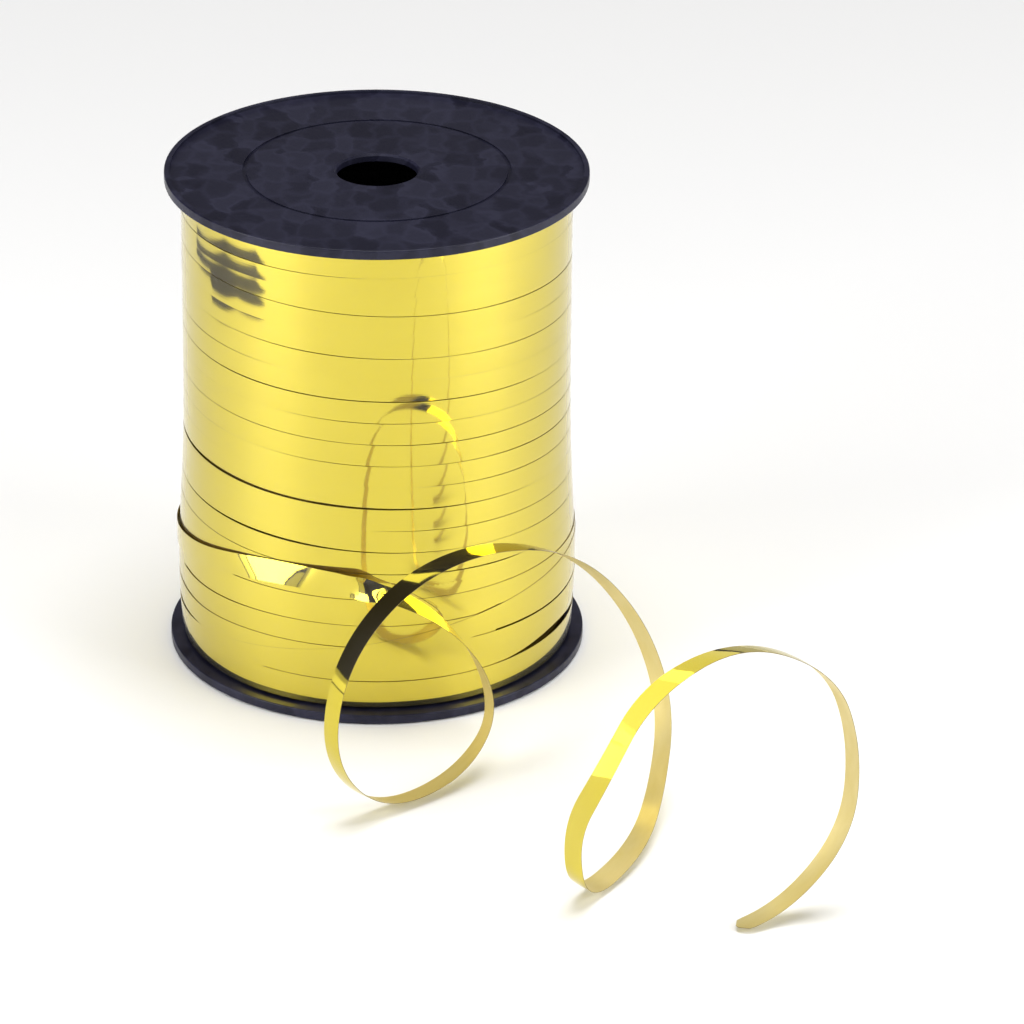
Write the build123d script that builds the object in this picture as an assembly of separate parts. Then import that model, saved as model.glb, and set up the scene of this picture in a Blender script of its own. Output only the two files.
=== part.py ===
from build123d import *
import math
import os

# A spool of 5 mm metallic curling ribbon: two moulded flanges pressed into a paperboard core tube,
# the ribbon wound on it in side-by-side turns, and a curled loose end.
# Millimetres. +Z runs up the spool's axis, and z = 0 is the rim that the spool stands on.

# ---- driving dimensions: spool ----
spool_height = 114.0            # over the rims of both flanges
flange_radius = 47.0
flange_thickness = 2.15         # from the rim's outer edge to the face that guides the ribbon
rim_width = 1.2                 # raised lip round the outer face
rim_height = 0.5
rim_edge_fillet = 0.3
groove_width = 0.9              # engraved circle on the outer face, over the core tube
groove_depth = 0.3
bore_radius = 9.0
bore_edge_chamfer = 0.4

# ---- driving dimensions: hub ----
core_outer_radius = 29.3
core_wall = 2.0
spigot_clearance = 0.10         # radial, spigot ring in core tube
spigot_wall = 1.5
spigot_length = 9.0
spigot_lead_chamfer = 0.6
crush_rib_radius = 0.5
crush_rib_bite = 0.08           # how far each crush rib presses into the tube
crush_rib_count = 6

# ---- driving dimensions: ribbon ----
ribbon_width = 5.0
least_turn_gap = 0.1            # axial, between two turns
winding_side_gap = 0.75         # axial, between the winding and each flange
winding_radius = 43.3
outer_layer = 0.5               # depth of the outermost, visible layer
turn_edge_radius = 0.15
loose_swell = 1.4               # how far the loosened lower turns stand out
loose_middle = 3.0              # the turn that stands out furthest, counted from the lowest as 0
loose_spread = 4.5              # turns over which the swelling dies away
last_turn_gap = 0.3             # radial, between the winding and the loosened last turn
last_turn_thickness = 0.5
last_turn_height = 33.6         # height of its middle
last_turn_start = 98.0          # degrees round the axis, at the back of the spool
last_turn_end = 278.0           # degrees, at the front, where the ribbon lifts off

# ---- driving dimensions: tape that holds the ribbon's first turn on the core ----
tape_thickness = 0.15
tape_width = 14.0
tape_arc = 50.0                 # degrees
tape_height = 18.0              # height of its middle above the lower flange's inner face
tape_clearance = 0.05

# ---- driving dimensions: loose end, as a plain round cord of the ribbon's bulk ----
tail_diameter = 1.5

# Route of the loose end: off the front of the winding, down into a first loop, round a second
# one, and up over a third whose end lies on the table. Chosen by hand.
tail_points = [
    (5, -45.4, 32),
    (16, -46, 26),
    (27, -60, 12),
    (18, -75, 2),
    (0, -89, 1),
    (-11, -95, 16),
    (-8, -94, 39),
    (5, -88, 55),
    (23, -79, 60),
    (42, -70, 54),
    (56, -66, 37),
    (63, -72, 18),
    (60, -88, 3),
    (54, -111, 2),
    (42, -129, 1),
    (40, -134, 20),
    (46, -145, 39),
    (55, -147, 60),
    (74, -142, 69),
    (93, -136, 59),
    (99, -131, 39),
    (98, -129, 17),
    (84, -134, 1),
    (75, -140, 1),
]

# ---- derived sizes ----
core_inner_radius = core_outer_radius - core_wall
core_length = spool_height - 2 * flange_thickness
spigot_outer_radius = core_inner_radius - spigot_clearance
spigot_inner_radius = spigot_outer_radius - spigot_wall
winding_base = flange_thickness + winding_side_gap
winding_length = core_length - 2 * winding_side_gap
turn_count = int((winding_length - ribbon_width) / (ribbon_width + least_turn_gap)) + 1
turn_pitch = (winding_length - ribbon_width) / (turn_count - 1)
pack_radius = winding_radius - outer_layer


def tube(outer_radius, inner_radius, length, base=0.0):
    """A plain tube standing on height base."""
    ring = Circle(outer_radius) - Circle(inner_radius)
    return Pos(0, 0, base) * extrude(ring, length)


def arc_band(inner_radius, thickness, width, middle_height, start, end):
    """A strip bent round the axis from one angle to another, in degrees, by revolving its section."""
    section = Plane.XZ * Pos(inner_radius + thickness / 2, middle_height) * Rectangle(thickness, width)
    band = revolve(section, Axis.Z, end - start)
    return Rot(0, 0, start) * band


def turn_radius(index):
    """Outer radius of one visible turn: the lower ones have loosened and stand out."""
    return winding_radius + loose_swell * math.exp(-(((index - loose_middle) / loose_spread) ** 2))


def last_turn_inner_radius():
    """The last turn clears the widest of the turns that it lies over."""
    low = last_turn_height - ribbon_width / 2
    first = int((low - winding_base) / turn_pitch)
    return max(turn_radius(i) for i in (first, first + 1, first + 2)) + last_turn_gap


def make_flange():
    """The lower flange: outer face down, spigot ring up. The upper one is the same part."""
    plate_base = rim_height
    plate = tube(flange_radius, bore_radius, flange_thickness - rim_height, plate_base)
    rim = tube(flange_radius, flange_radius - rim_width, rim_height)
    body = plate + rim
    outer_edges = body.edges().filter_by(GeomType.CIRCLE).filter_by(
        lambda e: abs(e.radius - flange_radius) < 1e-6
    )
    body = fillet(outer_edges, rim_edge_fillet)
    groove = tube(
        core_outer_radius + groove_width / 2, core_outer_radius - groove_width / 2, groove_depth, plate_base
    )
    body -= groove
    spigot = tube(spigot_outer_radius, spigot_inner_radius, spigot_length, flange_thickness)
    tip = spigot.edges().filter_by(GeomType.CIRCLE).filter_by(
        lambda e: abs(e.radius - spigot_outer_radius) < 1e-6
    ).sort_by(Axis.Z)[-1]
    body += chamfer(tip, spigot_lead_chamfer)
    # Crush ribs stand just proud of the tube's bore, and stop short of the lead chamfer.
    crush_length = spigot_length - 2 * spigot_lead_chamfer
    crush_reach = core_inner_radius + crush_rib_bite - crush_rib_radius
    crush_rib = Pos(0, 0, flange_thickness + crush_length / 2) * Cylinder(crush_rib_radius, crush_length)
    body += PolarLocations(crush_reach, crush_rib_count, start_angle=180 / crush_rib_count) * crush_rib
    bore_edge = body.edges().filter_by(GeomType.CIRCLE).filter_by(
        lambda e: abs(e.radius - bore_radius) < 1e-6
    ).sort_by(Axis.Z)[0]
    return chamfer(bore_edge, bore_edge_chamfer)


def make_start_tape(clearance=0.0):
    """Tape over the first turn on the core; with a clearance it is the pocket the winding leaves."""
    side = math.degrees(clearance / core_outer_radius)
    return arc_band(
        core_outer_radius,
        tape_thickness + clearance,
        tape_width + 2 * clearance,
        flange_thickness + tape_height,
        -tape_arc / 2 - side,
        tape_arc / 2 + side,
    )


def make_outer_turns():
    """The outermost layer, one ring for each side-by-side turn, with the ribbon's rounded edges."""
    turns = []
    for i in range(turn_count):
        radius = turn_radius(i)
        turn = tube(radius, pack_radius, ribbon_width, winding_base + i * turn_pitch)
        rim_edges = turn.edges().filter_by(GeomType.CIRCLE).filter_by(
            lambda e: abs(e.radius - radius) < 1e-6
        )
        turns.append(fillet(rim_edges, turn_edge_radius))
    return Compound(turns)


def corner_radii(points):
    """Each arc is as large as its two runs allow: 0.45 of the shorter one over tan(half the turn)."""
    radii = []
    for before, corner, after in zip(points, points[1:], points[2:]):
        run_in = Vector(*corner) - Vector(*before)
        run_out = Vector(*after) - Vector(*corner)
        half_turn = math.radians(run_in.get_angle(run_out)) / 2
        radii.append(0.45 * min(run_in.length, run_out.length) / math.tan(half_turn))
    return radii


def make_tail():
    """The loose end as a round cord along straight runs joined by tangent arcs."""
    radii = corner_radii(tail_points)
    path = FilletPolyline(*tail_points, radius=radii)
    section = Plane(origin=path @ 0, z_dir=path % 0) * Circle(tail_diameter / 2)
    cord = sweep(section, path=path)
    expected = math.pi * tail_diameter**2 / 4 * path.length
    print("tail arc radii, mm:", [round(r, 1) for r in radii])
    print(f"tail length {path.length:.1f} mm, volume {cord.volume:.1f}, section x length {expected:.1f}")
    return cord


flange = make_flange()
pieces = {
    "bottom_flange": flange,
    "top_flange": Pos(0, 0, spool_height) * Rot(180, 0, 0) * flange,
    "core_tube": tube(core_outer_radius, core_inner_radius, core_length, flange_thickness),
    "start_tape": make_start_tape(),
    "wound_ribbon": tube(pack_radius, core_outer_radius, winding_length, winding_base)
    - make_start_tape(tape_clearance),
    "outer_turns": make_outer_turns(),
    "last_turn": arc_band(
        last_turn_inner_radius(),
        last_turn_thickness,
        ribbon_width,
        last_turn_height,
        last_turn_start,
        last_turn_end,
    ),
    "loose_tail": make_tail(),
}

os.makedirs("parts", exist_ok=True)
for name, shape in pieces.items():
    export_step(shape, f"parts/{name}.step")
print(f"{turn_count} turns show, {turn_pitch:.2f} mm apart, on {winding_length:.2f} mm of core")
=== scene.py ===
# %% [markdown]
# # A spool of gold curling ribbon
# Curling ribbon is a thin plastic film, coated with metal on one face. It is sold
# wound on a hollow paper core, between two thin moulded flanges. Drawn over a
# blade it curls, and the loose end of this one has three loops.
#
# The spool's shape, sizes and moving parts come from a finished design, which is
# loaded first and never changed. This lesson adds what the eye sees: the turns of
# film, the creased last turn, the curled loose end, and the finish of each piece.

# %% Load the design and measure it
import math

import bpy
import numpy as np
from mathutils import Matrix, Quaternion, Vector
from mathutils.noise import noise


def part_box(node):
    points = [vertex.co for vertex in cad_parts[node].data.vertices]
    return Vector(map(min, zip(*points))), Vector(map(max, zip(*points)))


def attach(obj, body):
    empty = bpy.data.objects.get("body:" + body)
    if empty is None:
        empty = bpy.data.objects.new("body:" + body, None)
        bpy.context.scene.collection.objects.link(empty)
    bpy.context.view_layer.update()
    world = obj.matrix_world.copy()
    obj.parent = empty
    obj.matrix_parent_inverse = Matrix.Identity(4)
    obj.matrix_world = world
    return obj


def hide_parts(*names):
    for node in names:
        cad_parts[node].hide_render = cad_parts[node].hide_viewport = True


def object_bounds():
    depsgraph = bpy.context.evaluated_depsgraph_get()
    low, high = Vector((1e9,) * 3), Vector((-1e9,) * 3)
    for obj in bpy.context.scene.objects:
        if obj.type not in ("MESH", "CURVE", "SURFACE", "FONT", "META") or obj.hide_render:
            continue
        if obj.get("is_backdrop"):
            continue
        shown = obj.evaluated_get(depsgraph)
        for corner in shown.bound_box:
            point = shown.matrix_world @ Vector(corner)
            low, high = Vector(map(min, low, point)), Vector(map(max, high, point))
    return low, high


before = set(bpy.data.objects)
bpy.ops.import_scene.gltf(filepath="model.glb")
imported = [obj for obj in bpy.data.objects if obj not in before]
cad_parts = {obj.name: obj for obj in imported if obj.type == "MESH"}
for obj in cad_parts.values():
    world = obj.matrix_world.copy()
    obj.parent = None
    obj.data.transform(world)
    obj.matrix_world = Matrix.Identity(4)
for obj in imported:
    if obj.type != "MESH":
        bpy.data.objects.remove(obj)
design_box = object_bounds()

MM = 0.001
scene = bpy.context.scene
spool_low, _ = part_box("bottom_flange")
_, spool_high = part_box("top_flange")
spool_height = spool_high.z - spool_low.z
flange_radius = (spool_high.x - spool_low.x) / 2
middle_height = (spool_low.z + spool_high.z) / 2
print("pieces of the design:", ", ".join(sorted(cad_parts)))
print(f"spool {spool_height / MM:.1f} mm tall, flanges {2 * flange_radius / MM:.1f} mm across")

# %% [markdown]
# ## The camera
# A product picture of a small shiny thing is taken with a long lens from well
# back, so that the two flanges look almost the same size. The camera looks down
# a little, and the spool stands left of the middle to leave room for the loose end.
# The distance, angles and lens were fitted so that both flanges' outlines fall right.

# %% Camera
camera_distance = 1.368
camera_elevation = math.radians(24.54)
turn_right = math.radians(-1.27)
tip_down = math.radians(-1.03)

camera_data = bpy.data.cameras.new("camera")
camera_data.lens = 213.9
camera_data.sensor_width = 36
camera = bpy.data.objects.new("camera", camera_data)
scene.collection.objects.link(camera)
backwards = Vector((0, -math.cos(camera_elevation), math.sin(camera_elevation)))
camera.location = Vector((0, 0, middle_height)) + backwards * camera_distance
camera.rotation_mode = "QUATERNION"
level_gaze = Quaternion((1, 0, 0), math.pi / 2 - camera_elevation)
camera.rotation_quaternion = (
    level_gaze @ Quaternion((0, 1, 0), turn_right) @ Quaternion((1, 0, 0), tip_down)
)
scene.camera = camera
print(f"camera {camera_distance:.2f} m away, {math.degrees(camera_elevation):.1f} degrees up")

# %% [markdown]
# ## The loose end's line
# A cord or ribbon starts as a line that it follows. The points of this line were
# fitted to the real curl by a separate program and rounded to whole millimetres.
# A NURBS spline goes smoothly between them. The first point is where the ribbon
# leaves the spool.

# %% Route of the loose end
route = [
    (4, -48, 32), (16, -46, 26), (27, -60, 12), (18, -75, 2), (0, -89, 1), (-11, -95, 16),
    (-8, -94, 39), (5, -88, 55), (23, -79, 60), (42, -70, 54), (56, -66, 37), (63, -72, 18),
    (60, -88, 3), (54, -111, 2), (42, -129, 1), (40, -134, 20), (46, -145, 39), (55, -147, 60),
    (74, -142, 69), (93, -136, 59), (99, -131, 39), (98, -129, 17), (84, -134, 1), (75, -140, 1),
]  # millimetres
route = [tuple(length * MM for length in point) for point in route]
steps_between_points = 14


def spline_line(name, points):
    """The points of a smooth spline whose control points are given."""
    curve = bpy.data.curves.new(name, "CURVE")
    curve.dimensions = "3D"
    curve.resolution_u = steps_between_points
    spline = curve.splines.new("NURBS")
    spline.points.add(len(points) - 1)
    for control, place in zip(spline.points, points):
        control.co = (*place, 1)
    spline.order_u = 3
    spline.use_endpoint_u = True
    guide = bpy.data.objects.new(name, curve)
    mesh = bpy.data.meshes.new_from_object(guide)
    line = np.array([vertex.co[:] for vertex in mesh.vertices])
    bpy.data.objects.remove(guide)
    bpy.data.curves.remove(curve)
    bpy.data.meshes.remove(mesh)
    return line


loose_line = spline_line("loose_line", route)
loose_steps = np.linalg.norm(np.diff(loose_line, axis=0), axis=1)
loose_along = np.concatenate([[0], np.cumsum(loose_steps)])
loose_length = float(loose_along[-1])
print(f"loose end {loose_length / MM:.0f} mm long, through {len(loose_line)} points")

# %% [markdown]
# ## A strip of film
# Every visible bit of ribbon is the same strip, 5 mm wide and a tenth of a
# millimetre thick. It could be a flat plane with a Solidify modifier, but then the
# twist would be hard to steer. So one function builds it: at each point of a line
# it lays a thin cross-section, slightly cupped as real film is, and joins it to the
# next. The bright face, the dull back and the cut edges get a material slot each.

# %% The strip builder
ribbon_width = 5.0 * MM
film_thickness = 0.12 * MM
sharp_angle = math.radians(40)
BRIGHT, DULL, EDGE = 0, 1, 2


def unit(vectors):
    """The same directions, each of length one."""
    return vectors / np.linalg.norm(vectors, axis=-1, keepdims=True)


def strip_mesh(name, lines, columns=4, cup=0.0, relief=None):
    """A mesh of strips. Each line is (centres, across, outward, widths, closed).

    The relief raises points of the strip: one row for each centre, one value for each column.
    """
    vertices, faces, slots, coords = [], [], [], []
    share = np.linspace(-0.5, 0.5, columns + 1)
    for centres, across, outward, widths, closed in lines:
        first = len(vertices)
        count = len(centres)
        step = np.linalg.norm(np.diff(centres, axis=0), axis=1)
        along = np.concatenate([[0], np.cumsum(step)])
        ring = 2 * (columns + 1)
        for i in range(count):
            edge_on = centres[i] + np.outer(share * widths[i], across[i])
            crown = cup * (1 - (2 * share) ** 2)
            if relief is not None:
                crown = crown + relief[i]
            top = edge_on + np.outer(crown + film_thickness / 2, outward[i])
            under = edge_on + np.outer(crown - film_thickness / 2, outward[i])
            vertices.extend(top.tolist())
            vertices.extend(under[::-1].tolist())
        for i in range(count if closed else count - 1):
            here = first + i * ring
            there = first + ((i + 1) % count) * ring
            far = along[i + 1] if i + 1 < count else along[i] + step[-1]
            for k in range(ring):
                m = (k + 1) % ring
                faces.append((here + k, here + m, there + m, there + k))
                slots.append(BRIGHT if k < columns else DULL if columns < k < ring - 1 else EDGE)
                near_k = share[k if k <= columns else ring - 1 - k] * ribbon_width
                near_m = share[m if m <= columns else ring - 1 - m] * ribbon_width
                coords.extend([(along[i], near_k), (along[i], near_m), (far, near_m), (far, near_k)])
        if not closed:
            last = first + (count - 1) * ring
            for k in range(columns):
                low = (k, k + 1, ring - 2 - k, ring - 1 - k)
                faces.append(tuple(first + v for v in reversed(low)))
                faces.append(tuple(last + v for v in low))
                slots.extend((EDGE, EDGE))
                coords.extend([(0, 0)] * 8)
    mesh = bpy.data.meshes.new(name)
    mesh.from_pydata(vertices, [], faces)
    mesh.polygons.foreach_set("material_index", slots)
    layer = mesh.uv_layers.new(name="along_ribbon")
    layer.uv.foreach_set("vector", np.array(coords, np.float32).ravel())
    mesh.polygons.foreach_set("use_smooth", [True] * len(faces))
    mesh.set_sharp_from_angle(angle=sharp_angle)
    piece = bpy.data.objects.new(name, mesh)
    scene.collection.objects.link(piece)
    return piece


print(f"film {ribbon_width / MM:.0f} mm wide and {film_thickness / MM:.2f} mm thick")

# %% [markdown]
# ## How the loose end is twisted
# A curled ribbon is a helix: at each point its width lies along the axis of the
# curl. This curl's axis is level and points back to the left, and the ribbon
# leans away from it where it comes off the spool and where it touches the table.
# So the way that the width points is given at a few places, as a rough direction,
# and turned square to the line. The places were picked. The directions are
# rounded from a fit to how wide the real curl looks there.

# %% Twist of the loose end
width_points = [
    # distance along the ribbon (mm), and the direction of its width there
    (0, (0.3, 0.9, 0.3)), (12, (0.2, 0.9, -0.2)), (32, (-0.3, 0.6, -0.7)),
    (52, (-0.7, 0.7, -0.2)), (94, (-0.6, 0.8, 0.0)), (136, (-0.5, 0.85, 0.15)),
    (157, (-0.45, 0.9, 0.0)), (178, (-0.5, 0.8, -0.3)), (220, (-0.65, 0.6, -0.45)),
    (242, (-0.8, 0.4, -0.5)), (263, (-0.9, 0.4, 0.0)), (303, (-0.6, 0.65, 0.4)),
    (345, (-0.4, 0.85, 0.3)), (367, (-0.3, 0.9, -0.25)), (388, (-0.5, 0.9, -0.05)),
    (461, (-0.5, 0.85, -0.05)),
]
tip_length = 2.4 * MM
tip_roundness = 0.97  # 1 would end in a point
smoothing_window = 23  # samples
loose_cup = 0.07 * MM


def smooth_between(places, values, at):
    """Values between the given ones, without corners."""
    wanted = np.interp(at, places, values)
    kernel = np.hanning(smoothing_window)
    padded = np.pad(wanted, smoothing_window // 2, mode="edge")
    return np.convolve(padded, kernel / kernel.sum(), mode="valid")


def loose_frames(line, along):
    """The width direction and the bright side's direction at each point of the line."""
    heading = unit(np.gradient(line, along, axis=0))
    places = [place * MM for place, _ in width_points]
    axes = [[axis[k] for _, axis in width_points] for k in range(3)]
    rough = np.stack([smooth_between(places, values, along) for values in axes], axis=1)
    across = unit(rough - heading * np.sum(rough * heading, axis=1, keepdims=True))
    return across, np.cross(heading, across)


# %% The curled loose end
loose_across, loose_outward = loose_frames(loose_line, loose_along)
to_tip = np.clip((loose_along - (loose_length - tip_length)) / tip_length, 0, tip_roundness)
loose_widths = ribbon_width * np.sqrt(1 - to_tip ** 2)
loose_end = strip_mesh(
    "curled_loose_end",
    [(loose_line, loose_across, loose_outward, loose_widths, False)],
    columns=6,
    cup=loose_cup,
)
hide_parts("loose_tail")
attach(loose_end, "loose_ribbon")
print(f"loose end: {len(loose_end.data.polygons)} faces")

# %% [markdown]
# ## Turns of film on the spool
# The winding machine's guide moves two widths for each turn, and comes back to
# fill what it left. So the face of the winding is two interleaved helices, over an
# older layer that slopes the other way. Each turn tilts by a fraction of a degree,
# which is what breaks the reflections at every edge.
#
# Near the bottom the winding has slackened: turns there stand out a little, ride
# over each other, and leave thin dark gaps.

# %% Shape of the winding
winding_inset = 2.9 * MM
winding_low = spool_low.z + winding_inset
winding_high = spool_high.z - winding_inset
winding_radius = 43.3 * MM
swell = 1.4 * MM
swell_height = 20.9 * MM
swell_spread = 23.2 * MM
strand_pitch = 10.32 * MM
rows_per_turn = 240
wound_cup = 0.02 * MM
waves_round = 1.3  # how quickly the wander changes round the spool
wave_drift = 0.21  # and from one turn to the next


def swollen(height):
    """Outer radius of the winding at a height."""
    return winding_radius + swell * math.exp(-(((height - swell_height) / swell_spread) ** 2))


def wound_line(heights, angles, stand_off, tilts, closed=False):
    """Frames of a strip that lies on the winding. Angle 0 is the front, and grows to the right."""
    centres, across, outward = [], [], []
    slope = np.gradient(heights, angles)
    for height, angle, off, tilt, rise in zip(heights, angles, stand_off, tilts, slope):
        radius = swollen(height) + off
        out = np.array([math.sin(angle), -math.cos(angle), 0])
        side = np.array([math.cos(angle), math.sin(angle), 0])
        lean = (swollen(height + MM) - swollen(height - MM)) / (2 * MM) + tilt
        up = unit(np.array([0, 0, 1.0]) + out * lean)
        heading = unit(side + up * rise / radius)
        centres.append(out * radius + np.array([0, 0, height]))
        face = unit(np.cross(heading, up))
        across.append(np.cross(face, heading))
        outward.append(face)
    return (
        np.array(centres),
        np.array(across),
        np.array(outward),
        np.full(len(centres), ribbon_width),
        closed,
    )


def wave(angle, seed, size):
    """A slow, repeatable wander round the spool. The seed picks another part of the noise."""
    across = waves_round * math.cos(angle)
    along = waves_round * math.sin(angle)
    return size * noise(Vector((across, along, seed * 3.7 + angle * wave_drift)))


print(f"winding {2 * winding_radius / MM:.1f} mm across, up to {2 * swollen(swell_height) / MM:.1f} mm")

# %% The two helices of the upper winding
flange_gap = 0.05 * MM
first_height = winding_high - ribbon_width / 2 - flange_gap
level_turns = 0.45
easing_turns = 0.25
upper_turns = 9.6
height_wander = 0.16 * MM
turn_tilt = 0.018  # tilts are slopes
tilt_wander = 0.006
upper_stand_off = 0.03 * MM
stand_off_wander = 0.02 * MM
# Where a turn of either helix rides up or down and leaves a gap: turn, spread, lift in mm.
lifted_turns = {
    1: [(1.80, 0.12, 0.4), (0.86, 0.10, -0.3)],
    2: [(5.36, 0.13, 0.6), (0.62, 0.10, 0.35), (6.40, 0.10, 0.3)],
}


def upper_strand(start_height, seed):
    """One helix, level for its first half turn and then dropping two widths a turn."""
    count = int(upper_turns * rows_per_turn)
    turns = np.linspace(0, upper_turns, count)
    angles = math.pi + turns * 2 * math.pi
    dropping = np.clip(turns - level_turns, 0, None)
    eased = dropping ** 2 / (dropping + easing_turns)
    heights = start_height - strand_pitch * eased
    heights = heights + np.array([wave(a, seed, height_wander) for a in angles])
    for turn, spread, lift in lifted_turns.get(seed, []):
        heights = heights + lift * MM * np.exp(-(((turns - turn) / spread) ** 2))
    tilts = np.array([
        turn_tilt * noise(Vector((t * 0.9, seed * 5.1, 0.3))) + wave(a, seed + 9, tilt_wander)
        for t, a in zip(turns, angles)
    ])
    off = np.array([upper_stand_off + wave(a, seed + 4, stand_off_wander) for a in angles])
    return wound_line(heights, angles, off, tilts)


print(f"each helix makes {upper_turns} turns, {strand_pitch / MM:.2f} mm apart")

# %% The older layer below them
under_turns = 21
under_rows = 160
under_depth = 0.35 * MM
under_tilt = 0.010


def under_layer():
    """The layer beneath, whose turns climb to the right."""
    count = under_turns * under_rows
    turns = np.linspace(0, under_turns, count)
    angles = turns * 2 * math.pi
    low = winding_low + ribbon_width / 2
    high = winding_high - ribbon_width / 2
    heights = low + (high - low) * turns / under_turns
    tilts = np.array([under_tilt * noise(Vector((t * 0.8, 2.2, 8.0))) for t in turns])
    off = np.array([winding_radius - under_depth - swollen(height) for height in heights])
    return wound_line(heights, angles, off, tilts)


print(f"older layer: {under_turns} turns, {under_depth / MM:.2f} mm below the face")

# %% The slack turns near the bottom
slack_strands = [
    # middle height, lift round the spool, where it is highest, stand-off (mm, mm, degrees, mm),
    # and the places where it is pushed up or down: angle, spread, lift (degrees, degrees, mm)
    (5.4, 0.0, 0, -0.10, []),
    (6.8, 0.0, 0, 0.16, [(60, 24, 0.5), (-75, 20, 0.8)]),
    (11.7, 0.0, 0, 0.00, [(64, 20, 2.2), (-72, 22, 0.9)]),
    (15.1, 0.3, 60, 0.20, [(-62, 20, -0.5)]),
    (16.6, 8.4, 90, 0.26, []),
    (20.7, 0.0, 0, 0.18, [(-66, 24, -0.9)]),
    (26.8, 0.2, 0, 0.20, [(-94, 26, -2.7)]),
    (31.8, 0.3, -20, 0.04, []),
]
slack_wander = 0.25 * MM
slack_tilt = 0.03


def slack_strand(height, lift, highest, stand_off, pushes, seed):
    """One closed turn that leans and wanders."""
    angles = np.linspace(-math.pi, math.pi, rows_per_turn, endpoint=False)
    ring = np.array([noise(Vector((1.4 * math.cos(a), 1.4 * math.sin(a), seed * 2.9))) for a in angles])
    heights = height * MM + lift * MM * np.cos(angles - math.radians(highest)) + slack_wander * ring
    for angle, spread, push in pushes:
        heights = heights + push * MM * np.exp(-(((np.degrees(angles) - angle) / spread) ** 2))
    tilts = slack_tilt * np.roll(ring, rows_per_turn // 3)
    off = np.full(rows_per_turn, stand_off * MM)
    return wound_line(heights, angles, off, tilts, closed=True)


print(f"{len(slack_strands)} slack turns")

# %% Lay all the turns
strands = [
    upper_strand(first_height, 1),
    upper_strand(first_height - strand_pitch / 2, 2),
    under_layer(),
]
strands += [slack_strand(*values, seed) for seed, values in enumerate(slack_strands)]
turns_of_film = strip_mesh("turns_of_film", strands, columns=3, cup=wound_cup)
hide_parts("outer_turns")
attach(turns_of_film, "spool")
print(f"winding: {len(strands)} strands, {len(turns_of_film.data.polygons)} faces")

# %% [markdown]
# ## The last turn
# The last turn lies loose over the others and climbs towards the front. There it
# is creased where the curl pulls it over, so that its bright face turns up, and it
# becomes the loose end.

# %% The last turn's line
last_radius = 45.2 * MM
last_path = [
    # angle from the front (degrees), height (mm), stand-off (mm)
    (-172, 22.5, 0.05), (-140, 23.5, 0.05), (-110, 25.2, 0.05), (-84, 27.2, 0.05), (-60, 30.2, 0.05),
    (-45, 32.6, 0.15), (-30, 34.3, 0.35), (-20, 34.2, 0.35), (-12, 34.0, 0.7), (-6, 33.6, 1.6),
    (0, 32.9, 2.6), (4.8, 32.0, 2.97),
]
plain_stretch = np.linspace(-172, -24, 150)
crease_stretch = np.linspace(-23.6, 4.4, 100)
last_angles = np.radians(np.concatenate([plain_stretch, crease_stretch]))
path_angles = np.radians([angle for angle, _, _ in last_path])
last_heights = smooth_between(path_angles, [height * MM for _, height, _ in last_path], last_angles)
last_off = smooth_between(path_angles, [off * MM for _, _, off in last_path], last_angles)
last_centres = np.stack([
    (last_radius + last_off) * np.sin(last_angles),
    -(last_radius + last_off) * np.cos(last_angles),
    last_heights,
], axis=1)
last_centres = np.concatenate([last_centres, loose_line[:1]])
last_steps = np.linalg.norm(np.diff(last_centres, axis=0), axis=1)
last_along = np.concatenate([[0], np.cumsum(last_steps)])
last_heading = unit(np.gradient(last_centres, last_along, axis=0))
print(f"last turn {last_along[-1] / MM:.0f} mm long")

# %% How the last turn leans back and is creased
upright = np.tile(np.array([0, 0, 1.0]), (len(last_centres), 1))
# Just before the crease the pull lays the film back, so it faces upward and catches the light.
most_lean = 0.40  # as a slope
lean_middle = -30  # degrees from the front
lean_spread = 13  # degrees
lean_back = most_lean * np.exp(-(((np.degrees(last_angles) - lean_middle) / lean_spread) ** 2))
flat = np.zeros(len(last_angles))
outwards = np.stack([np.sin(last_angles), -np.cos(last_angles), flat], axis=1)
upright[:-1] -= outwards * lean_back[:, None]
crease_length = 13 * MM
crease = np.clip((last_along - (last_along[-1] - crease_length)) / crease_length, 0, 1)
crease = crease ** 2 * (3 - 2 * crease)
last_rough = upright * (1 - crease)[:, None] + loose_across[0] * crease[:, None]
along_heading = np.sum(last_rough * last_heading, axis=1, keepdims=True)
last_across = unit(last_rough - last_heading * along_heading)
last_outward = np.cross(last_heading, last_across)
print(f"crease {crease_length / MM:.0f} mm long, steepest lean {most_lean:.2f}")

# %% Folds at the crease
# The crease runs slantwise, so the folds lean from the top edge forward to the bottom edge.
fold_columns = 8
fold_spacing = 9 * MM
fold_height = 0.22 * MM
fold_slant = 1.3
folds_before_end = 15 * MM
plain_before_end = 1 * MM
fold_start = last_along[-1] - folds_before_end
fold_end = last_along[-1] - plain_before_end
in_folds = np.clip((last_along - fold_start) / (fold_end - fold_start), 0, 1)
across_places = np.linspace(-0.5, 0.5, fold_columns + 1) * ribbon_width
phase = (last_along[:, None] + fold_slant * across_places[None, :]) / fold_spacing
folds = 2 * np.abs(2 * (phase % 1) - 1) - 1
folds = fold_height * folds * np.sin(math.pi * in_folds)[:, None]
last_cup = 0.05 * MM
last_widths = np.full(len(last_centres), ribbon_width)
last_turn = strip_mesh(
    "creased_last_turn",
    [(last_centres, last_across, last_outward, last_widths, False)],
    columns=fold_columns,
    cup=last_cup,
    relief=folds,
)
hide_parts("last_turn")
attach(last_turn, "loose_ribbon")
print(f"folds {fold_height / MM:.2f} mm high, {len(last_turn.data.polygons)} faces")

# %% [markdown]
# ## Finishes
# Each finish is a node material. Small helpers add the nodes and set their inputs,
# so that the recipes below stay short.

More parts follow.
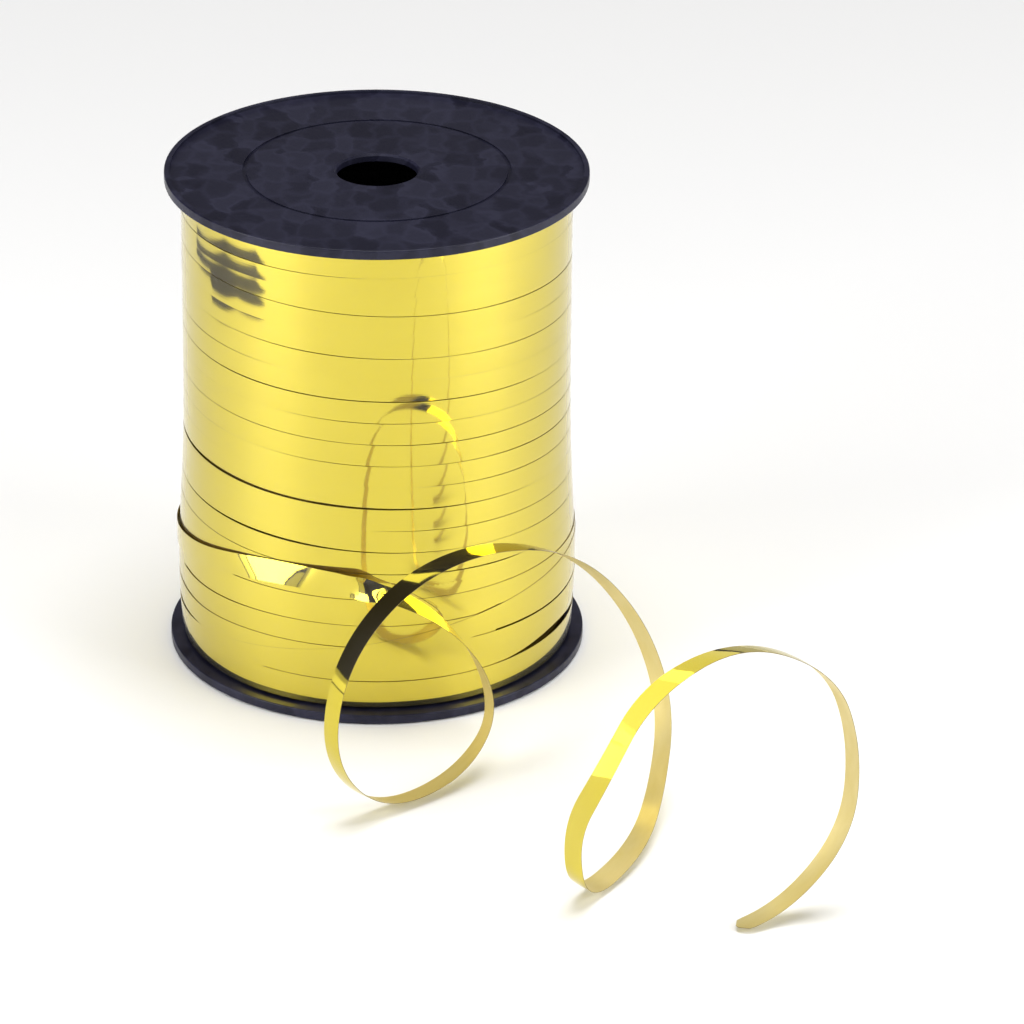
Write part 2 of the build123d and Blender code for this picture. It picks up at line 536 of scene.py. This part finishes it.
# %% Helpers for material nodes
COLOR_A, COLOR_B, MIXED_COLOR = 6, 7, 2  # a Mix node's sockets for colours


def new_material(name, color, metallic, roughness):
    """A new material and its one main shader."""
    material = bpy.data.materials.new(name)
    material.use_nodes = True
    nodes = material.node_tree.nodes
    nodes.clear()
    shader = nodes.new("ShaderNodeBsdfPrincipled")
    output = nodes.new("ShaderNodeOutputMaterial")
    material.node_tree.links.new(shader.outputs["BSDF"], output.inputs["Surface"])
    shader.inputs["Base Color"].default_value = (*color, 1)
    shader.inputs["Metallic"].default_value = metallic
    shader.inputs["Roughness"].default_value = roughness
    return material, shader


def add(material, kind, **inputs):
    """A new node. An input is a value, or another node's output to link."""
    node = material.node_tree.nodes.new(kind)
    for name, value in inputs.items():
        socket = node.inputs[name.replace("_", " ")]
        if isinstance(value, bpy.types.NodeSocket):
            material.node_tree.links.new(value, socket)
        else:
            socket.default_value = value
    return node


def stretched(material, source, scale):
    """Coordinates multiplied by a scale along each axis."""
    return add(material, "ShaderNodeMapping", Vector=source, Scale=scale).outputs["Vector"]


def between(material, factor, low, high):
    """A value that goes from low to high as the factor goes from 0 to 1."""
    node = add(material, "ShaderNodeMapRange", Value=factor)
    node.inputs["To Min"].default_value = low
    node.inputs["To Max"].default_value = high
    return node.outputs["Result"]


def blended(material, factor, first, second):
    """A colour between two."""
    node = material.node_tree.nodes.new("ShaderNodeMix")
    node.data_type = "RGBA"
    material.node_tree.links.new(factor, node.inputs[0])
    node.inputs[COLOR_A].default_value = (*first, 1)
    node.inputs[COLOR_B].default_value = (*second, 1)
    return node.outputs[MIXED_COLOR]


def mottle(material, place, detail, scale=1.0):
    """Cloudy noise, from 0 to 1."""
    node = add(material, "ShaderNodeTexNoise", Vector=place, Scale=scale, Detail=detail)
    return node.outputs["Fac"]


def drive(material, shader, name, value):
    """Lets a node's output set one of the shader's inputs."""
    material.node_tree.links.new(value, shader.inputs[name])


def along_ribbon(material):
    """Coordinates in metres along the ribbon and across it."""
    node = add(material, "ShaderNodeUVMap")
    node.uv_map = "along_ribbon"
    return node.outputs["UV"]


def ridged(material, shader, height, strength, distance):
    """Adds a bump to the shader."""
    bump = add(material, "ShaderNodeBump", Height=height, Strength=strength, Distance=distance)
    drive(material, shader, "Normal", bump.outputs["Normal"])


print("helpers ready")

# %% [markdown]
# ## Gold film
# The bright face is metal under a clear yellow lacquer. Its reflections are sharp,
# and drawn out a little by fine lines that run along the ribbon from the slitting
# knife and the curling blade. A rough coat over the metal adds the whitish haze of
# rubbed film, stronger on the winding than on the clean curl. The back is the plain
# side of the film, with the metal seen through it: paler, duller and slightly
# mottled. The cut edges have no metal and look amber.

# %% Bright face
film_gold = (0.65, 0.533, 0.046)
film_gold_deep = (0.60, 0.482, 0.037)
film_line_depth = 0.00001


def gold_face(name, haze):
    """The metallised face of the ribbon. Rubbed film has a haze over its reflections."""
    material, shader = new_material(name, film_gold, 1.0, 0.08)
    shader.inputs["Coat Weight"].default_value = haze
    shader.inputs["Coat Roughness"].default_value = 0.45
    place = along_ribbon(material)
    lines = mottle(material, stretched(material, place, (40, 4000, 1)), 2.0)
    cloud = mottle(material, stretched(material, place, (60, 60, 1)), 3.0)
    drive(material, shader, "Base Color", blended(material, cloud, film_gold, film_gold_deep))
    drive(material, shader, "Roughness", between(material, lines, 0.02, 0.09))
    ridged(material, shader, lines, 0.15, film_line_depth)
    return material


wound_face = gold_face("wound_gold", 1.0)
curled_face = gold_face("curled_gold", 0.3)
print("bright faces:", wound_face.name, curled_face.name)

# %% Dull back
back_gold = (0.68, 0.58, 0.28)
back_gold_deep = (0.58, 0.46, 0.14)


def gold_back():
    """The plain side of the film."""
    material, shader = new_material("gold_back", back_gold, 0.55, 0.42)
    place = along_ribbon(material)
    cloud = mottle(material, stretched(material, place, (120, 300, 1)), 4.0)
    lines = mottle(material, stretched(material, place, (30, 3000, 1)), 2.0)
    drive(material, shader, "Base Color", blended(material, cloud, back_gold, back_gold_deep))
    drive(material, shader, "Roughness", between(material, cloud, 0.35, 0.5))
    ridged(material, shader, lines, 0.2, film_line_depth)
    return material


back_finish = gold_back()
print("dull back:", back_finish.name)

# %% Cut edges
edge_amber = (0.25, 0.18, 0.03)
edge_dark = (0.13, 0.09, 0.015)


def film_edge():
    """The slit edge, where the film has no metal."""
    material, shader = new_material("film_edge", edge_amber, 0.0, 0.5)
    place = add(material, "ShaderNodeTexCoord").outputs["Object"]
    nicks = mottle(material, place, 2.0, scale=700.0)
    drive(material, shader, "Base Color", blended(material, nicks, edge_amber, edge_dark))
    return material


edge_finish = film_edge()
print("cut edges:", edge_finish.name)

# %% Finish the film
film_faces = ((loose_end, curled_face), (turns_of_film, wound_face), (last_turn, wound_face))
for piece, face_finish in film_faces:
    for finish in (face_finish, back_finish, edge_finish):
        piece.data.materials.append(finish)
    print(piece.name, "has", len(piece.data.materials), "finishes")

# %% [markdown]
# ## Moulded flanges
# The flanges are thin navy polystyrene with a satin skin. Soft, uneven cells, a few
# millimetres across, are a shade lighter or darker than the rest. They are made
# with a Voronoi pattern whose coordinates drift, so that no edge is straight.

# %% Navy plastic
navy = (0.0055, 0.0055, 0.0150)
navy_light = (0.0205, 0.0205, 0.0420)
cells_per_metre = (190, 120, 120)
cell_drift = (8 * MM, 8 * MM, 8 * MM)
cell_border = 0.22
border_share = 0.7


def moulded_navy():
    """Satin moulded plastic with a faint pattern of soft, uneven cells."""
    material, shader = new_material("moulded_navy", navy, 0.0, 0.4)
    shader.inputs["Specular IOR Level"].default_value = 0.22
    place = add(material, "ShaderNodeTexCoord").outputs["Object"]
    drift = add(material, "ShaderNodeTexNoise", Vector=place, Scale=160.0, Detail=2.0)
    moved = material.node_tree.nodes.new("ShaderNodeVectorMath")
    moved.operation = "MULTIPLY_ADD"
    material.node_tree.links.new(drift.outputs["Color"], moved.inputs[0])
    moved.inputs[1].default_value = cell_drift
    material.node_tree.links.new(place, moved.inputs[2])
    cell_place = stretched(material, moved.outputs[0], cells_per_metre)
    web = add(material, "ShaderNodeTexVoronoi", Vector=cell_place, Scale=1.0, Randomness=0.6)
    web.feature = "DISTANCE_TO_EDGE"
    cells = add(material, "ShaderNodeTexVoronoi", Vector=cell_place, Scale=1.0, Randomness=0.6)
    tone = add(material, "ShaderNodeSeparateColor", Color=cells.outputs["Color"]).outputs["Red"]
    line = add(material, "ShaderNodeMapRange", Value=web.outputs["Distance"])
    line.interpolation_type = "SMOOTHSTEP"
    line.inputs["From Max"].default_value = cell_border
    line.inputs["To Min"].default_value = 0.7
    line.inputs["To Max"].default_value = 0.2
    mixed = add(material, "ShaderNodeMath", Value=line.outputs["Result"])
    mixed.operation = "MULTIPLY_ADD"
    mixed.inputs[1].default_value = border_share
    material.node_tree.links.new(between(material, tone, -0.1, 0.55), mixed.inputs[2])
    grain = mottle(material, place, 2.0, scale=900.0)
    drive(material, shader, "Base Color", blended(material, mixed.outputs["Value"], navy, navy_light))
    drive(material, shader, "Roughness", between(material, tone, 0.34, 0.44))
    ridged(material, shader, grain, 0.06, 0.0001)
    return material


flange_finish = moulded_navy()
print("flanges:", flange_finish.name)

# %% [markdown]
# ## What lies inside
# The core is a paper tube, coloured nearly black as painted shade for the inside of
# the bore. A bit of clear tape holds the ribbon's first turn on it, and the pack of
# wound film fills the space up to the visible turns. All three are hidden or nearly
# so, and each has a plain finish of its own.

# %% Core board, tape and wound pack


def paper_board_painted_shade():
    """Board coloured nearly black, which paints in the shade inside the bore. Its fibres run round the
    tube.
    """
    # The board's near-black colours, here and in its fibres, are painted shade for the inside of the
    # bore.
    material, shader = new_material("paper_board_painted_shade", (0.03, 0.03, 0.033), 0.0, 0.85)
    place = add(material, "ShaderNodeTexCoord").outputs["Object"]
    fibres = mottle(material, stretched(material, place, (300, 300, 1500)), 5.0)
    color = blended(material, fibres, (0.045, 0.043, 0.045), (0.018, 0.018, 0.020))
    drive(material, shader, "Base Color", color)
    ridged(material, shader, fibres, 0.3, 0.0002)
    return material


def clear_tape():
    """The tape that holds the first turn."""
    material, shader = new_material("clear_tape", (0.75, 0.68, 0.45), 0.0, 0.2)
    place = add(material, "ShaderNodeTexCoord").outputs["Object"]
    wrinkles = mottle(material, place, 2.0, scale=400.0)
    color = blended(material, wrinkles, (0.78, 0.71, 0.48), (0.66, 0.58, 0.34))
    drive(material, shader, "Base Color", color)
    ridged(material, shader, wrinkles, 0.2, 0.0001)
    return material


def wound_pack():
    """The inside of the winding, seen only in gaps."""
    material, shader = new_material("wound_pack", film_gold_deep, 1.0, 0.25)
    place = add(material, "ShaderNodeTexCoord").outputs["Object"]
    layers = mottle(material, stretched(material, place, (200, 200, 900)), 3.0)
    color = blended(material, layers, film_gold_deep, (0.45, 0.33, 0.04))
    drive(material, shader, "Base Color", color)
    ridged(material, shader, layers, 0.2, 0.0001)
    return material


node_finishes = {
    "top_flange": flange_finish,
    "bottom_flange": flange_finish,
    "core_tube": paper_board_painted_shade(),
    "start_tape": clear_tape(),
    "wound_ribbon": wound_pack(),
}
for name, finish in node_finishes.items():
    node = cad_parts[name]
    for slot in node.material_slots:
        slot.material = finish
print("finished:", ", ".join(node_finishes))

# %% [markdown]
# ## Table and lights
# Bright film shows whatever is round it, so the lights matter as much as the gold.
# The table is pale, under an even ceiling light. Two soft boxes stand low at the
# sides, which gives the winding its two upright bands of light.
#
# A few cards and one dark sheet on the table are seen only in reflections. They
# put the light and dark patches on the loops and the winding where a real room
# would. The room itself is pale when looked at, and nearly black in reflections.

# %% Table
table_radius = 6
table_drop = 0.2 * MM
bpy.ops.mesh.primitive_circle_add(
    vertices=96, radius=table_radius, fill_type="NGON", location=(0, 0, -table_drop)
)
table = bpy.context.object
table.name = "table"
table_finish, _ = new_material("table_white", (0.86, 0.86, 0.86), 0.0, 0.6)
table.data.materials.append(table_finish)
table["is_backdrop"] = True
print(f"table {2 * table_radius} m across")

# %% Ceiling light
ceiling = bpy.data.lights.new("ceiling", "SUN")
ceiling.energy = 2.5
ceiling.angle = math.radians(40)
ceiling_light = bpy.data.objects.new("ceiling", ceiling)
ceiling_light.rotation_mode = "QUATERNION"
ceiling_light.rotation_quaternion = Vector((-0.05, -0.12, -1)).to_track_quat("-Z", "Y")
scene.collection.objects.link(ceiling_light)
print(f"ceiling light, strength {ceiling.energy}")

# %% Soft boxes


def soft_box(name, place, aim, width, height, power, only_in_reflections=False):
    """A rectangular light that looks at a point and doesn't show itself."""
    light = bpy.data.lights.new(name, "AREA")
    light.shape = "RECTANGLE"
    light.size = width
    light.size_y = height
    light.energy = power
    box = bpy.data.objects.new(name, light)
    box.location = place
    box.rotation_mode = "QUATERNION"
    box.rotation_quaternion = (Vector(aim) - Vector(place)).to_track_quat("-Z", "Y")
    box.visible_camera = False
    box.visible_diffuse = not only_in_reflections
    scene.collection.objects.link(box)


# Place, aim, width and height in metres, and power in watts.
soft_box("left_box", (-0.60, -0.32, 0.26), (0, -0.04, 0.03), 0.42, 0.5, 4.7)
soft_box("right_box", (0.62, -0.32, 0.26), (0, -0.04, 0.03), 0.42, 0.5, 4.7)
print("two soft boxes")

# %% Cards that only give a reflection
soft_box("back_card", (0.1, 2.2, 0.30), (0.1, 0, 0.30), 2.0, 0.6, 2.2, True)
soft_box("right_card", (0.90, 0.20, 0.32), (0, -0.05, 0.05), 0.9, 0.6, 1.4, True)
soft_box("front_card", (-0.10, -1.10, 0.33), (0, 0, 0.05), 1.9, 0.6, 2.6, True)
soft_box("patch_card", (-0.50, 0.63, 1.03), (0.01, -0.08, 0.05), 0.31, 0.24, 0.36, True)
soft_box("over_card", (0.045, -0.088, 0.110), (0.070, -0.145, 0.066), 0.105, 0.05, 0.018, True)
soft_box("loop_card", (0.010, -0.126, 0.068), (0.06, -0.140, 0.05), 0.045, 0.11, 0.026, True)

# %% Dark sheet on the table
dark_outline = [
    (-0.233, -0.120), (-0.234, -0.100), (-0.250, -0.030), (-0.240, 0.008),
    (-0.231, 0.060), (-0.241, 0.076), (-0.214, 0.139), (-0.224, 0.150),
    (-0.280, 0.020), (-0.266, -0.095), (-0.246, -0.107),
]
sheet_height = 1 * MM
dark_corners = [(x, y, sheet_height) for x, y in dark_outline]
card_mesh = bpy.data.meshes.new("dark_card")
card_mesh.from_pydata(dark_corners, [], [tuple(range(len(dark_corners)))])
dark_card = bpy.data.objects.new("dark_card", card_mesh)
scene.collection.objects.link(dark_card)
dark_finish, _ = new_material("dark_felt", (0.02, 0.016, 0.012), 0.0, 0.9)
card_mesh.materials.append(dark_finish)
dark_card.visible_camera = False
dark_card.visible_diffuse = False
dark_card.visible_shadow = False
dark_card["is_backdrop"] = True
print(f"dark sheet with {len(dark_outline)} corners")

# %% Room
dark_room = (0.030, 0.026, 0.022)
pale_room = (0.72, 0.72, 0.72)
world = bpy.data.worlds.new("room")
world.use_nodes = True
room = world.node_tree
seen_directly = room.nodes.new("ShaderNodeLightPath").outputs["Is Camera Ray"]
wall = room.nodes.new("ShaderNodeMix")
wall.data_type = "RGBA"
wall.inputs[COLOR_A].default_value = (*dark_room, 1)
wall.inputs[COLOR_B].default_value = (*pale_room, 1)
room.links.new(seen_directly, wall.inputs[0])
room.links.new(wall.outputs[MIXED_COLOR], room.nodes["Background"].inputs["Color"])
scene.world = world
scene.view_settings.view_transform = "Standard"
print("room:", pale_room, "seen directly,", dark_room, "in reflections")

# %% [markdown]
# ## Size
# The design's box and the finished model's box are both printed, one after the other.

# %% Print the two boxes
finished_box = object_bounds()
for name, (low, high) in (("design", design_box), ("finished", finished_box)):
    print(name, [round(v / MM, 2) for v in low], [round(v / MM, 2) for v in high])
